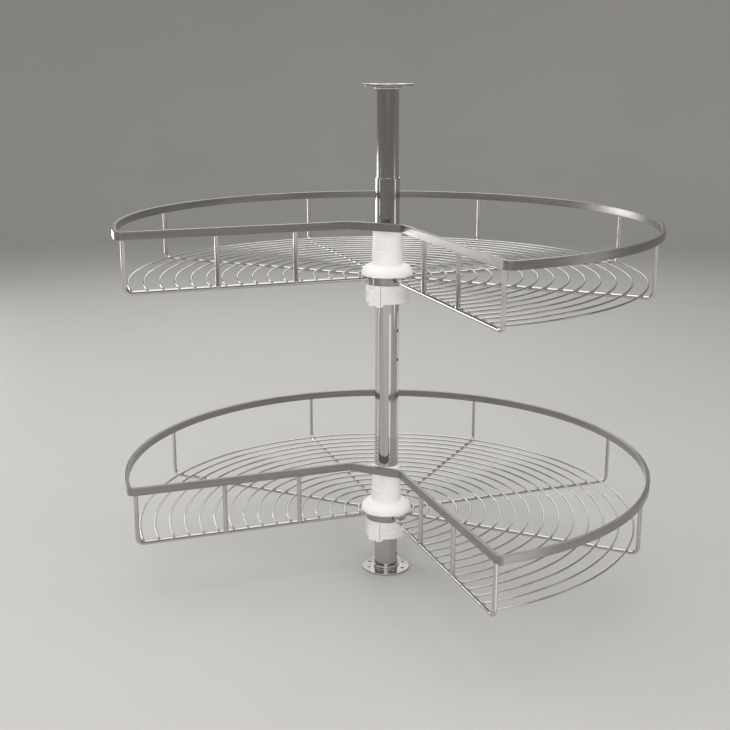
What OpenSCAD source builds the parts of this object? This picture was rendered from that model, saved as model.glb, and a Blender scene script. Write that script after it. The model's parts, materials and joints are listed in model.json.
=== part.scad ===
// Revolving corner carousel for a kitchen base cabinet: two three-quarter-round
// wire baskets that turn on a telescopic post held between a floor flange and a
// top flange.
//
// Millimetres, +Z up. The origin is the centre of the floor flange's underside,
// on the post's axis. At rest the notch of both baskets is the quadrant between
// -X and -Y, so the cabinet's corner door closes in front of it.

/* [Post] */
// Overall height, from the floor flange's underside to the top flange's face
post_h = 768; // [720:1:785]
// Outer diameter of the main tube
tube_d = 37; // [34:0.5:40]
// Wall of both tubes
tube_wall = 1.75; // [1.5:0.25:2.5]
// Height of the main tube's upper end above the floor
tube_top_z = 631; // [620:1:650]
// Length of the inner tube that slides in the main tube
inner_len = 440; // [420:1:470]

/* [Flanges] */
// Diameter of the floor and top flanges
flange_d = 76; // [72:1:90]
// Thickness of a flange's plate
flange_t = 3.5; // [3:0.5:5]
// Width of the collar that stands round the tube on each flange
collar_w = 2.5; // [2:0.25:3]
// Height of that collar
collar_h = 4.2; // [3:0.1:6]
// Pitch circle of the flange's screw holes
bolt_pcd = 58.5; // [56:0.5:62]
// Diameter of a screw hole
bolt_d = 4.5; // [4:0.5:5]
// Number of screw holes
bolt_count = 8; // [4:1:8]
// Length of the spigot that each flange has inside its tube
spigot_len = 30; // [28:1:40]

/* [Lock screws] */
// Height of the screw that locks the main tube to the floor flange's spigot
base_lock_z = 26; // [20:0.5:28]
// Height of the lower screw that locks the inner tube
slide_lock_z = 351; // [349:1:380]
// Spacing of the two screws that lock the inner tube
slide_lock_pitch = 46; // [30:1:50]
// Diameter of these set screws
lock_d = 5; // [4:0.5:6]
// Compass angle of the set screws round the post
lock_angle = -46; // [-60:1:-20]

/* [Baskets] */
// Diameter over the rim band
basket_d = 820; // [780:5:860]
// Height of a basket, from the rim's top to the underside of its floor frame
basket_h = 92; // [80:1:105]
// Height of the upper basket's rim above the floor
upper_rim_z = 568; // [550:1:590]
// Height of the lower basket's rim above the floor
lower_rim_z = 186; // [180:1:200]
// Height of the flat rim band
band_h = 12; // [8:0.5:16]
// Thickness of the rim band
band_t = 6; // [4:0.5:7]
// Radius of the band's bends at the notch's two outer corners
corner_r = 8; // [6:1:14]
// Distance from the post's axis, along each side, at which the band crosses the notch
notch_reach = 62; // [56:1:74]
// Radius of the band's two bends there
notch_bend_r = 7; // [5:1:10]

/* [Wires] */
// Diameter of the wires along the notch's sides and of the stays on them
side_wire_d = 7; // [6:0.5:8]
// Diameter of the spokes
spoke_d = 6; // [5:0.5:7]
// Diameter of the arcs that make the floor
arc_d = 3.2; // [2.5:0.1:4]
// Radius at the centreline of a wire's bend from upright to floor
wire_bend_r = 10; // [8:0.5:14]
// Number of spokes between the two side wires
spoke_count = 5; // [3:1:7]
// Number of floor arcs
arc_count = 16; // [10:1:20]
// Radius of the innermost floor arc
inner_arc_r = 44.5; // [43:0.5:50]
// Distance from the rim's outside to the outermost floor arc
arc_edge_gap = 20; // [18:0.5:30]
// Distance from the axis to the inner stay on each side of the notch
inner_stay_r = 145.5; // [110:0.5:180]
// Distance from the axis to the outer stay on each side of the notch
outer_stay_r = 264; // [230:0.5:320]

/* [Hub] */
// Diameter of the hub's flange
hub_flange_d = 80.6; // [76:0.2:84]
// Radius of the rounded shoulder from the flange up to the sleeve
hub_shoulder_r = 16.8; // [14:0.2:17]
// Height from the sleeve's top up to the rim's top
sleeve_gap = 8; // [4:0.5:14]
// Diameter of the sleeve at its top
sleeve_top_d = 44.3; // [43:0.1:45]
// Diameter of the sleeve at its foot
sleeve_foot_d = 47.5; // [46.6:0.1:49]
// Height of the step on the sleeve above the flange's widest line
sleeve_step_z = 34; // [24:1:44]
// Outer diameter of the steel ring that the wires are welded to
weld_ring_d = 64.5; // [62:0.5:67]
// Height of that ring
weld_ring_h = 12.8; // [11:0.1:13.5]
// Wall of that ring
weld_ring_wall = 3.2; // [2.5:0.1:4]

/* [Support] */
// Outer diameter of the clamp ring that carries a basket
support_d = 65.5; // [64:0.5:70]
// Height of the clamp ring
support_h = 28.7; // [26:0.1:32]
// Thickness of the glide washer between the clamp ring and the hub
washer_t = 1.5; // [1.2:0.1:2]
// Compass angle of the slot that splits the clamp ring
slot_angle = 231; // [200:1:250]
// Width of that slot
slot_w = 0.6; // [0.5:0.1:1.2]
// Length of the clamp boss beside the slot
boss_len = 18.5; // [18:0.5:22]
// How far the boss's flat face stands proud of the ring
boss_proud = 0.6; // [0.4:0.1:2]
// How far the clamp boss hangs below the ring
boss_drop = 2.3; // [1.5:0.1:3.5]
// Length of the boss's deeper end beside the slot
tab_len = 6.5; // [5:0.5:9]
// How far that end hangs below the ring
tab_drop = 4.5; // [4:0.1:6]
// Diameter of the clamp screw's shank
clamp_d = 5; // [4:0.5:6]

/* [Hidden] */
$fn = 96;
// Bore and shaft gaps at the radius: post in sleeve, inner tube in main tube
turn_gap = 0.1;
slide_gap = 0.05;
// How far welded wires sink into each other and into the band
weld = 0.4;
// A bend runs this many degrees into the straights at its ends, and is this much
// slimmer on each side, so that one bar or wire is one solid
bend_lap = 3;
bend_shy = 0.03;
arc_overhang = 2.5;

tube_r = tube_d / 2;
tube_bore_r = tube_r - tube_wall;
inner_r = tube_bore_r - slide_gap;
inner_bore_r = inner_r - tube_wall;
collar_r = tube_r + collar_w;
spigot_wall = 2;
inner_foot_z = post_h - flange_t - inner_len;
// The set screws end just under the tube's outside
lock_sink = 0.4;
lock_socket_d = lock_d * 0.5;
lock_socket_depth = 0.8;

basket_r = basket_d / 2;
band_mid_r = basket_r - band_t / 2;
// Heights in a basket count from its rim's top
band_foot_z = -band_h;
floor_z = -basket_h + side_wire_d;
side_mid_z = floor_z - side_wire_d / 2;
spoke_mid_z = floor_z - spoke_d / 2;
arc_mid_z = floor_z + arc_d / 2 - weld;
spoke_out_r = band_mid_r - 1;
outer_arc_r = basket_r - arc_edge_gap;
arc_step = (outer_arc_r - inner_arc_r) / (arc_count - 1);
spoke_step = 270 / (spoke_count + 1);

// Centre of a corner bend: it is tangent to the notch's side and to the rim's arc
corner_x = sqrt(pow(band_mid_r - corner_r, 2) - pow(corner_r, 2));
corner_angle = asin(corner_r / (band_mid_r - corner_r));
// The side wires stand under the straight part of the band, beside the corner
side_out_r = corner_x;
// The band's bend at the notch takes this much off each straight
bend_cut = notch_bend_r * tan(22.5);
crossing_len = notch_reach * sqrt(2) - 2 * bend_cut;

// The wires meet the steel ring just under the hub's flange
hub_over_wires = 1;
hub_flange_half = 4;
hub_z = floor_z + hub_over_wires + hub_flange_half;
weld_ring_top_z = hub_z - hub_flange_half;
weld_ring_foot_z = weld_ring_top_z - weld_ring_h;
weld_ring_r = weld_ring_d / 2;
weld_ring_bore_r = weld_ring_r - weld_ring_wall;
wire_in_r = weld_ring_r - 1;
hub_flange_r = hub_flange_d / 2;
hub_bore_r = tube_r + turn_gap;
shoulder_mid_r = hub_flange_r - hub_shoulder_r;
sleeve_top_z = -sleeve_gap;
sleeve_top_r = sleeve_top_d / 2;
sleeve_foot_r = sleeve_foot_d / 2;
sleeve_step = 0.5;
sleeve_chamfer = 2.2;
shoulder_steps = 12;

washer_proud = 0.5;
washer_r = weld_ring_bore_r - 0.4;
support_r = support_d / 2;
support_bore_r = tube_r + slide_gap;
support_top_z = weld_ring_foot_z - washer_proud;
support_foot_z = support_top_z - support_h;
washer_seat = washer_t - washer_proud;
washer_bore_r = tube_r + 0.4;
groove_deep = 0.8;
groove_h = 1.2;
support_chamfer = 1;
boss_in_x = tube_r + 1;
boss_out_x = support_r + boss_proud;
boss_top_z = support_top_z - 5.5;
boss_foot_z = support_foot_z - boss_drop;
tab_foot_z = support_foot_z - tab_drop;
gusset_len = 5.5;
// The clamp screw crosses the slot at right angles, clear of the tube
clamp_r = tube_r + clamp_d / 2 + 3;
clamp_z = support_top_z - support_h * 0.62;
clamp_head_d = clamp_d * 1.7;
clamp_head_h = clamp_d * 0.9;
clamp_grip = 9;
clamp_head_seat = boss_len - clamp_head_h - 1;
clamp_gap = 0.15;

POST_PARTS = ["base_flange", "main_tube", "base_lock_screw", "slide_lock_screws", "inner_tube",
    "top_flange"];
BASKET_PARTS = concat(["support_ring", "clamp_screw", "glide_washer", "hub", "weld_ring", "rim_band",
    "side_wire_left", "side_wire_right", "stays_left", "stays_right", "floor_arcs"],
    [for (i = [1 : spoke_count]) str("spoke_", i)]);

// ---- shapes that repeat ----

// A tube on the Z axis between two heights
module tube(r_out, r_in, z0, z1) {
    difference() {
        translate([0, 0, z0]) cylinder(r = r_out, h = z1 - z0);
        translate([0, 0, z0 - 1]) cylinder(r = r_in, h = z1 - z0 + 2);
    }
}

// A radial hole or pin at a compass angle and height, from one radius to another
module radial_rod(angle, z, r_from, r_to, d) {
    rotate([0, 0, angle]) translate([r_from, 0, z]) rotate([0, 90, 0])
        cylinder(d = d, h = r_to - r_from, $fn = 48);
}

// One flange for a tube of given outer and inner radius: its plate at z = 0, and
// above it the collar round the tube and the spigot inside it
module flange(r_out, r_in) {
    spigot_r = r_in - slide_gap;
    difference() {
        union() {
            cylinder(d = flange_d, h = flange_t);
            tube(collar_r, r_out + slide_gap, flange_t - 0.01, flange_t + collar_h);
            tube(spigot_r, spigot_r - spigot_wall, flange_t - 0.01, flange_t + spigot_len);
        }
        for (i = [0 : bolt_count - 1])
            rotate([0, 0, i * 360 / bolt_count]) translate([bolt_pcd / 2, 0, -1])
                cylinder(d = bolt_d, h = flange_t + 2, $fn = 48);
    }
}

// A socket set screw in the post's wall
module lock_screw(z) {
    difference() {
        radial_rod(lock_angle, z, tube_bore_r, tube_r - lock_sink, lock_d);
        radial_rod(lock_angle, z, tube_r - lock_sink - lock_socket_depth, tube_r, lock_socket_d);
    }
}

// A straight of flat bar along X, from x = 0, with its top at z = 0
module bar_straight(len) {
    translate([0, -band_t / 2, -band_h]) cube([len, band_t, band_h]);
}

// Flat bar curved round the Z axis, from one compass angle on through a sweep
module bar_curve(r, from, sweep, shy = 0) {
    rotate([0, 0, from]) rotate_extrude(angle = sweep, $fn = 360)
        translate([r - band_t / 2 + shy, -band_h + shy]) square([band_t - 2 * shy, band_h - 2 * shy]);
}

// A bend of flat bar that laps into the bar at both its ends
module bar_bend(r, from, sweep) {
    bar_curve(r, from - bend_lap, sweep + 2 * bend_lap, bend_shy);
}

// The closed band: the rim's arc, a bend at each corner, and the notch's sides,
// which a short straight joins in front of the post
module rim_band() {
    side_len = corner_x - notch_reach - bend_cut;
    bar_curve(band_mid_r, -90 + corner_angle, 270 - 2 * corner_angle);
    for (side = [0, 1]) mirror([side, -side, 0]) {
        translate([-corner_x, corner_r, 0]) bar_bend(corner_r, 180 - corner_angle, 90 + corner_angle);
        translate([-corner_x, 0, 0]) bar_straight(side_len);
        translate([-notch_reach - bend_cut, -notch_bend_r, 0]) bar_bend(notch_bend_r, 45, 45);
    }
    translate([-notch_reach, 0, 0]) rotate([0, 0, -45]) translate([bend_cut, 0, 0])
        bar_straight(crossing_len);
}

// A round wire from the band's underside down, through a bend and in to the hub,
// in the XZ plane
module bent_wire(d, out_r, mid_z) {
    bend_x = out_r - wire_bend_r;
    bend_z = mid_z + wire_bend_r;
    translate([out_r, 0, bend_z]) cylinder(d = d, h = band_foot_z + weld - bend_z, $fn = 48);
    translate([bend_x, 0, bend_z]) rotate([90, 90, 0]) rotate([0, 0, -bend_lap])
        rotate_extrude(angle = 90 + 2 * bend_lap) translate([wire_bend_r, 0])
            circle(d = d - 2 * bend_shy, $fn = 48);
    translate([wire_in_r, 0, mid_z]) rotate([0, 90, 0]) cylinder(d = d, h = bend_x - wire_in_r, $fn = 48);
}

// The two upright stays on one side of the notch, along X
module stays() {
    for (r = [inner_stay_r, outer_stay_r])
        translate([r, 0, floor_z - weld])
            cylinder(d = side_wire_d, h = band_foot_z + 2 * weld - floor_z, $fn = 48);
}

// The floor: concentric arcs that lie on the spokes and end on the side wires
module floor_arcs() {
    for (i = [0 : arc_count - 1]) {
        r = inner_arc_r + i * arc_step;
        over = asin(arc_overhang / r);
        rotate([0, 0, -90 - over]) rotate_extrude(angle = 270 + 2 * over, $fn = 180)
            translate([r, arc_mid_z]) circle(d = arc_d, $fn = 24);
    }
}

// The moulded hub: a sleeve round the post, a domed flange over the steel ring
// and a spigot inside it
module hub() {
    shoulder = [for (i = [0 : shoulder_steps]) let (a = 90 * i / shoulder_steps)
        [shoulder_mid_r + hub_shoulder_r * cos(a), -hub_flange_half + hub_shoulder_r * sin(a)]];
    step_r = sleeve_foot_r - sleeve_step;
    top = sleeve_top_z - hub_z;
    rotate_extrude($fn = 128) translate([0, hub_z]) polygon(concat(
        [[hub_bore_r, -hub_flange_half - weld_ring_h],
         [weld_ring_bore_r, -hub_flange_half - weld_ring_h],
         [weld_ring_bore_r, -hub_flange_half]],
        [for (p = shoulder) if (p[0] > sleeve_foot_r) p],
        [[sleeve_foot_r, shoulder[shoulder_steps][1]],
         [sleeve_foot_r - 0.2, sleeve_step_z - 1],
         [step_r - 0.2, sleeve_step_z],
         [sleeve_top_r, top - sleeve_chamfer],
         [sleeve_top_r - sleeve_chamfer, top],
         [hub_bore_r, top]]));
}

module weld_ring() {
    tube(weld_ring_r, weld_ring_bore_r, weld_ring_foot_z, weld_ring_top_z);
}

// A block that stands on the slot's plane: x runs outwards from the axis and
// y runs away from the slot, back along the ring
module beside_slot() {
    rotate([0, 0, slot_angle]) mirror([0, 1, 0]) children();
}

// The clamp ring: split by a slot, with a boss that holds the clamp screw
module support_ring() {
    difference() {
        union() {
            translate([0, 0, support_foot_z]) cylinder(r1 = support_r - support_chamfer, r2 = support_r,
                h = support_chamfer);
            translate([0, 0, support_foot_z + support_chamfer]) cylinder(r = support_r,
                h = support_h - support_chamfer);
            beside_slot() {
                translate([boss_in_x, 0, boss_foot_z])
                    cube([boss_out_x - boss_in_x, boss_len, boss_top_z - boss_foot_z]);
                translate([boss_in_x, 0, tab_foot_z])
                    cube([boss_out_x - boss_in_x, tab_len, boss_top_z - tab_foot_z]);
            }
            intersection() {
                beside_slot() gusset();
                translate([0, 0, tab_foot_z]) cylinder(r = support_r, h = support_h);
            }
        }
        translate([0, 0, tab_foot_z - 1]) cylinder(r = support_bore_r, h = support_h + 2 * tab_drop);
        translate([0, 0, support_top_z - washer_seat]) cylinder(r = washer_r + clamp_gap, h = washer_t);
        for (z = [support_top_z - support_h * 0.43, support_top_z - support_h * 0.72])
            translate([0, 0, z]) groove();
        beside_slot() {
            translate([tube_r - 5, -slot_w, tab_foot_z - 1]) cube([support_r, slot_w, support_h + 2 * tab_drop]);
            translate([clamp_r, clamp_head_seat, clamp_z]) rotate([-90, 0, 0])
                cylinder(d = clamp_head_d + 2 * clamp_gap, h = boss_len, $fn = 48);
            translate([clamp_r, -slot_w - clamp_grip, clamp_z]) rotate([-90, 0, 0])
                cylinder(d = clamp_d + 2 * clamp_gap, h = clamp_grip + slot_w + boss_len, $fn = 48);
        }
    }
}

// The sloping foot on the slot's other side, down to the boss's deeper end
module gusset() {
    translate([boss_in_x, 0, 0]) rotate([90, 0, 90]) linear_extrude(support_r)
        polygon([[0, tab_foot_z], [0, support_foot_z + 2 * support_chamfer],
            [-slot_w - gusset_len, support_foot_z + 2 * support_chamfer],
            [-slot_w - gusset_len, support_foot_z], [-slot_w - 1, tab_foot_z]]);
}

// A shallow line round the clamp ring, clear of its boss
module groove() {
    difference() {
        tube(support_r + 1, support_r - groove_deep, 0, groove_h);
        beside_slot() translate([0, -slot_w, -1]) cube([support_r + 5, boss_len + slot_w + 2, groove_h + 2]);
    }
}

// The clamp screw: a socket head in the boss and a shank across the slot
module clamp_screw() {
    beside_slot() translate([clamp_r, 0, clamp_z]) rotate([-90, 0, 0]) difference() {
        union() {
            translate([0, 0, clamp_head_seat]) cylinder(d = clamp_head_d, h = clamp_head_h, $fn = 48);
            translate([0, 0, -slot_w - clamp_grip]) cylinder(d = clamp_d,
                h = clamp_grip + slot_w + clamp_head_seat + 0.5, $fn = 48);
        }
        translate([0, 0, clamp_head_seat + clamp_head_h * 0.4])
            cylinder(d = clamp_head_d * 0.55, h = clamp_head_h, $fn = 6);
    }
}

module glide_washer() {
    tube(washer_r, washer_bore_r, weld_ring_foot_z - washer_t, weld_ring_foot_z);
}

// ---- the post ----

module base_flange() {
    color("silver") flange(tube_r, tube_bore_r);
}

module main_tube() {
    color("silver") difference() {
        tube(tube_r, tube_bore_r, flange_t, tube_top_z);
        for (z = [base_lock_z, slide_lock_z, slide_lock_z + slide_lock_pitch])
            radial_rod(lock_angle, z, tube_bore_r - 2, tube_r + 2, lock_d);
    }
}

module base_lock_screw() {
    color("dimgray") lock_screw(base_lock_z);
}

module slide_lock_screws() {
    color("dimgray") for (i = [0, 1]) lock_screw(slide_lock_z + i * slide_lock_pitch);
}

module inner_tube() {
    color("silver") tube(inner_r, inner_bore_r, inner_foot_z, post_h - flange_t);
}

module top_flange() {
    color("silver") translate([0, 0, post_h]) mirror([0, 0, 1]) flange(inner_r, inner_bore_r);
}

// ---- what each basket is made of, at a rim height ----

module basket_part(part, rim_z) {
    translate([0, 0, rim_z]) {
        if (part == "support_ring") color("white") support_ring();
        if (part == "clamp_screw") color("dimgray") clamp_screw();
        if (part == "glide_washer") color("ivory") glide_washer();
        if (part == "hub") color("white") hub();
        if (part == "weld_ring") color("silver") weld_ring();
        if (part == "rim_band") color("gray") rim_band();
        if (part == "side_wire_left") color("silver") rotate([0, 0, 180])
            bent_wire(side_wire_d, side_out_r, side_mid_z);
        if (part == "side_wire_right") color("silver") rotate([0, 0, -90])
            bent_wire(side_wire_d, side_out_r, side_mid_z);
        if (part == "stays_left") color("silver") rotate([0, 0, 180]) stays();
        if (part == "stays_right") color("silver") rotate([0, 0, -90]) stays();
        if (part == "floor_arcs") color("silver") floor_arcs();
        for (i = [1 : spoke_count])
            if (part == str("spoke_", i)) color("silver") rotate([0, 0, -90 + i * spoke_step])
                bent_wire(spoke_d, spoke_out_r, spoke_mid_z);
    }
}

base_flange();
main_tube();
base_lock_screw();
slide_lock_screws();
inner_tube();
top_flange();
for (part = BASKET_PARTS) {
    basket_part(part, upper_rim_z);
    basket_part(part, lower_rim_z);
}
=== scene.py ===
"""Corner carousel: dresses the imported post, hubs, clamp rings and wire baskets.

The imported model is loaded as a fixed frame, in metres, with +Z up and the post's
foot at the origin. Each operator builds one piece or one group of like pieces in
place of the plain nodes, and the last one sets up the studio.
"""

import json
import math

import bmesh
import bpy
from bpy.props import FloatProperty, FloatVectorProperty, IntProperty, PointerProperty
from mathutils import Matrix, Vector

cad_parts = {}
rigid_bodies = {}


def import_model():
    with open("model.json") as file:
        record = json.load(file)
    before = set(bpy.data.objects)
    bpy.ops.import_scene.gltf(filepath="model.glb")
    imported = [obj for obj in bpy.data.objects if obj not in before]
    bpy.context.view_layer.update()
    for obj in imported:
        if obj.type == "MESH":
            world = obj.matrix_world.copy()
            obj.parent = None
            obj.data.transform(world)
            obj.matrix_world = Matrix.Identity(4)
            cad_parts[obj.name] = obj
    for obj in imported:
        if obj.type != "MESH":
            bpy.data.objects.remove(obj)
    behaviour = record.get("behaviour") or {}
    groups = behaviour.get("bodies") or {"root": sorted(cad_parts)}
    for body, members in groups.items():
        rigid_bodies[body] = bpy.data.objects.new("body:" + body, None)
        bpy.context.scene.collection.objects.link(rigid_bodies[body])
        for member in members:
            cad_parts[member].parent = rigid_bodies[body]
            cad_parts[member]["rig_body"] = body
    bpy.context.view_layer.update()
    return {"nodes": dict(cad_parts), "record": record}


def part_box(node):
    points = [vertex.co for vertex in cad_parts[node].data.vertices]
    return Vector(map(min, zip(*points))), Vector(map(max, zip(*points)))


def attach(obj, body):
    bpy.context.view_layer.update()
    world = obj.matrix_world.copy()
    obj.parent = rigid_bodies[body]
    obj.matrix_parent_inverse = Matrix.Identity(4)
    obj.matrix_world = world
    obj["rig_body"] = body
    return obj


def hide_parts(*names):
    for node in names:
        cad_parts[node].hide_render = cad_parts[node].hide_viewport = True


bl_info = {
    "name": "Corner Carousel",
    "version": (1, 0, 0),
    "blender": (4, 5, 0),
    "location": "3D View > Sidebar > Carousel",
    "description": "Builds a revolving corner carousel: telescopic post, hubs and wire baskets",
    "category": "Object",
}

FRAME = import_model()
COLOURS = {m["slot"]: m["base_color"][:3] for m in FRAME["record"]["materials"]}
MM = 0.001
ORIGIN, UP, DOWN = Vector((0, 0, 0)), Vector((0, 0, 1)), Vector((0, 0, -1))

BASKETS = ("upper", "lower")
SWEEP = math.radians(270)  # a basket is three quarters of a round
SIDES = (("left", math.pi), ("right", -math.pi / 2))  # bearings of the notch's two sides
SPOKES = sum(1 for name in FRAME["nodes"] if name.startswith("upper_spoke_"))

FLANGE_GAP = 0.05 * MM  # between a flange and its tube
HUB_GAP = 0.1 * MM  # between a hub and the post
WASHER_GAP = 0.4 * MM  # between a glide washer and the post
SCREW_SINK = 0.4 * MM  # from the tube's outside in to the end of a set screw
ALONG_POST = (1, 1, 0.03)  # stretches a tube's wipe marks along it


def low(node, axis):
    """Lowest coordinate of a node along an axis, 0 to 2."""
    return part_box(node)[0][axis]


def high(node, axis):
    """Highest coordinate of a node along an axis, 0 to 2."""
    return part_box(node)[1][axis]


def span(node):
    """A round node's radius, foot and top."""
    return high(node, 0), low(node, 2), high(node, 2)


def colour_property(name, slot, description):
    """A colour that starts as that of one of the record's materials."""
    return FloatVectorProperty(
        name=name, description=description, default=COLOURS[slot], subtype="COLOR", size=3,
        min=0.0, max=1.0,
    )


def length_property(name, millimetres, description):
    """A length, given in millimetres and kept in metres."""
    return FloatProperty(
        name=name, description=description, default=millimetres * MM, min=0.0, precision=5,
        unit="LENGTH",
    )


def light_property(name, default, description):
    """How strong a light is."""
    return FloatProperty(name=name, description=description, default=default, min=0.0)


# ---- what a user can change ----


class CarouselPost(bpy.types.PropertyGroup):
    """Sizes of the post's pieces"""

    wall: length_property("Tube wall", 1.75, "Wall of both tubes")
    flange_plate: length_property("Flange plate", 3.5, "Thickness of a flange's plate")
    collar_height: length_property("Collar height", 4.2, "From the plate to the collar's top")
    collar_width: length_property("Collar width", 2.5, "From the main tube out to both collars")
    hole_circle: length_property("Hole circle", 58.5, "Pitch circle of the screw holes")
    hole: length_property("Hole", 4.5, "Diameter of a screw hole")
    countersink: length_property("Countersink", 0.5, "Chamfer round a screw hole")
    holes: IntProperty(
        name="Holes", description="Screw holes in a flange", default=8, min=3, max=12
    )
    edge: length_property("Flange edge", 0.7, "Rounding of a flange's rim")
    collar_round: length_property("Collar rounding", 2.0, "Rounding of the collar's free edge")
    screw: length_property("Set screw", 5.0, "Diameter of the set screws")
    socket: length_property("Socket", 2.5, "Width across the set screw's socket")


class CarouselBasket(bpy.types.PropertyGroup):
    """Sizes of a basket's pieces"""

    band: length_property("Band thickness", 6.0, "Thickness of the flat rim band")
    band_edge: length_property("Band edge", 0.6, "Rounding along the band's edges")
    corner: length_property("Corner bend", 8.0, "Bend at the notch's outer corners")
    notch: length_property("Notch reach", 62.0, "Where the band leaves each side of the notch")
    notch_bend: length_property("Notch bend", 7.0, "Bend where the band crosses the notch")
    side_wire: length_property("Side wire", 7.0, "Diameter of the wires along the notch")
    spoke: length_property("Spoke", 6.0, "Diameter of the spokes")
    arc: length_property("Floor wire", 3.2, "Diameter of the floor's arcs")
    bend: length_property("Wire bend", 10.0, "Radius of a wire's bend at its middle")
    arcs: IntProperty(
        name="Floor wires", description="Arcs in the floor", default=16, min=4, max=30
    )
    first_arc: length_property("First arc", 44.5, "Radius of the innermost floor arc")
    edge_gap: length_property("Edge gap", 20.0, "From the rim's outside to the last arc")
    inner_stay: length_property("Inner stay", 145.5, "From the axis to the inner upright")
    outer_stay: length_property("Outer stay", 264.0, "From the axis to the outer upright")


class CarouselHub(bpy.types.PropertyGroup):
    """Sizes of the hub, its steel ring and the clamp ring"""

    shoulder: length_property("Shoulder", 16.8, "Height of the hub's domed shoulder")
    half_lip: length_property("Half lip", 4.0, "From the flange's widest line to its underside")
    sleeve_top: length_property("Sleeve top", 22.15, "Radius of the sleeve at its top")
    sleeve_foot: length_property("Sleeve foot", 23.75, "Radius of the sleeve at its foot")
    step: length_property("Sleeve step", 34.0, "Height of the step above the widest line")
    ring_wall: length_property("Ring wall", 3.2, "Wall of the steel ring under the hub")
    clamp_edge: length_property("Clamp edge", 0.7, "Rounding along the clamp ring's edges")
    slot: length_property("Slot", 0.6, "Width of the slot that splits the clamp ring")
    slot_bearing: FloatProperty(
        name="Slot bearing", description="Compass angle of the slot",
        default=math.radians(231), subtype="ANGLE",
    )


class CarouselFinish(bpy.types.PropertyGroup):
    """Colours and finishes"""

    tube: colour_property("Tube", "tube_chrome", "Plating of the main tube")
    inner_tube: colour_property("Inner tube", "inner_tube_chrome", "Plating of the inner tube")
    flange: colour_property("Flange", "flange_chrome", "Plating of both flanges")
    wire: colour_property("Wire", "wire_chrome", "Plating of the wires")
    ring: colour_property("Steel ring", "weld_ring_chrome", "Plating of the ring under a hub")
    band: colour_property("Band", "band_steel", "Satin steel of the rim bands")
    hub: colour_property("Hub", "hub_plastic", "Plastic of the hubs")
    clamp: colour_property("Clamp ring", "ring_plastic", "Plastic of the clamp rings")
    washer: colour_property("Washer", "glide_plastic", "Plastic of the glide washers")
    screw: colour_property("Screw", "screw_steel", "Blackened steel of the screws")


class CarouselStudio(bpy.types.PropertyGroup):
    """Floor, lamps and camera"""

    floor: FloatVectorProperty(
        name="Floor", description="Colour of the floor and backdrop",
        default=(0.52, 0.51, 0.49), subtype="COLOR", size=3, min=0.0, max=1.0,
    )
    fill: light_property("Fill", 0.42, "Strength of the surrounding light")
    top: light_property("Top lamp", 56.0, "Power of the lamp overhead")
    side: light_property("Side lamp", 18.0, "Power of the left lamp")
    cards: light_property("Cards", 1.0, "Strength of the cards that metal reflects")
    back: light_property("Back lamp", 6.5, "Power of the lamp behind")
    front: light_property("Front lamp", 68.0, "Power of the two lamps in front")
    lens: FloatProperty(
        name="Lens", description="Focal length in millimetres", default=57.93, min=10.0
    )
    camera: FloatVectorProperty(
        name="Camera", description="Place of the camera",
        default=(-0.6331, -1.6624, 0.7996), subtype="TRANSLATION", size=3,
    )
    aim: FloatVectorProperty(
        name="Aim", description="Direction in which the camera looks",
        default=(0.3272, 0.9113, -0.2502), subtype="DIRECTION", size=3,
    )


# ---- shaping with bmesh ----


def edges_within(geom):
    """The edges of some geometry whose two ends are both in it."""
    verts = {g for g in geom if isinstance(g, bmesh.types.BMVert)}
    return [g for g in geom if isinstance(g, bmesh.types.BMEdge) and set(g.verts) <= verts]


def ends_of(edges):
    """The points of some edges, each once."""
    return list({v for e in edges for v in e.verts})


def ring(bm, radius, place, sides):
    """A circle of edges; returns them."""
    made = bmesh.ops.create_circle(bm, cap_ends=False, segments=sides, radius=radius, matrix=place)
    return list({e for v in made["verts"] for e in v.link_edges})


def push(bm, edges, by, scale=1.0):
    """Extrudes a loop by a vector and scales it about its middle; returns the new loop."""
    new = edges_within(bmesh.ops.extrude_edge_only(bm, edges=edges)["geom"])
    verts = ends_of(new)
    bmesh.ops.translate(bm, verts=verts, vec=by)
    if scale != 1.0:
        middle = sum((v.co for v in verts), Vector()) / len(verts)
        bmesh.ops.scale(bm, verts=verts, vec=(scale,) * 3, space=Matrix.Translation(-middle))
    return new


def ladder(bm, loop, start, points):
    """Extrudes a level round loop through (radius, height) points; returns the last loop."""
    reach, height = start
    for to_reach, to_height in points:
        loop = push(bm, loop, (0, 0, to_height - height), to_reach / reach)
        reach, height = to_reach, to_height
    return loop


def quarter(reach, height, size, first, last, steps):
    """Points (radius, height) of a rounding about a centre, from one angle to another."""
    angles = [math.radians(first + (last - first) * i / steps) for i in range(1, steps + 1)]
    return [(reach + size * math.cos(a), height + size * math.sin(a)) for a in angles]


def turn(bm, edges, centre, axis, angle, steps):
    """Spins a loop about an axis; returns the last loop."""
    out = bmesh.ops.spin(
        bm, geom=ends_of(edges) + edges, cent=centre, axis=axis, angle=angle, steps=steps,
        use_merge=False, use_duplicate=False,
    )
    return edges_within(out["geom_last"])


def outline(bm, points):
    """A closed outline in the XZ plane of an empty mesh, as edges without a face.

    Each point is a corner: its x, its z and its rounding.
    """
    broad, few, many = 3 * MM, 4, 14  # a rounding over this broad size has many segments
    verts = [bm.verts.new((x, 0, z)) for x, z, _ in points]
    bm.faces.new(verts)
    for vert, (_, _, rounding) in zip(verts, points):
        if rounding:
            bmesh.ops.bevel(
                bm, geom=[vert], offset=rounding, offset_type="OFFSET", affect="VERTICES",
                segments=few if rounding < broad else many, profile=0.5, material=-1,
            )
    face = bm.faces[:][0]  # a bevel puts a new face in the old one's place
    edges = list(face.edges)
    bmesh.ops.delete(bm, geom=[face], context="FACES_ONLY")
    return edges


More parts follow.
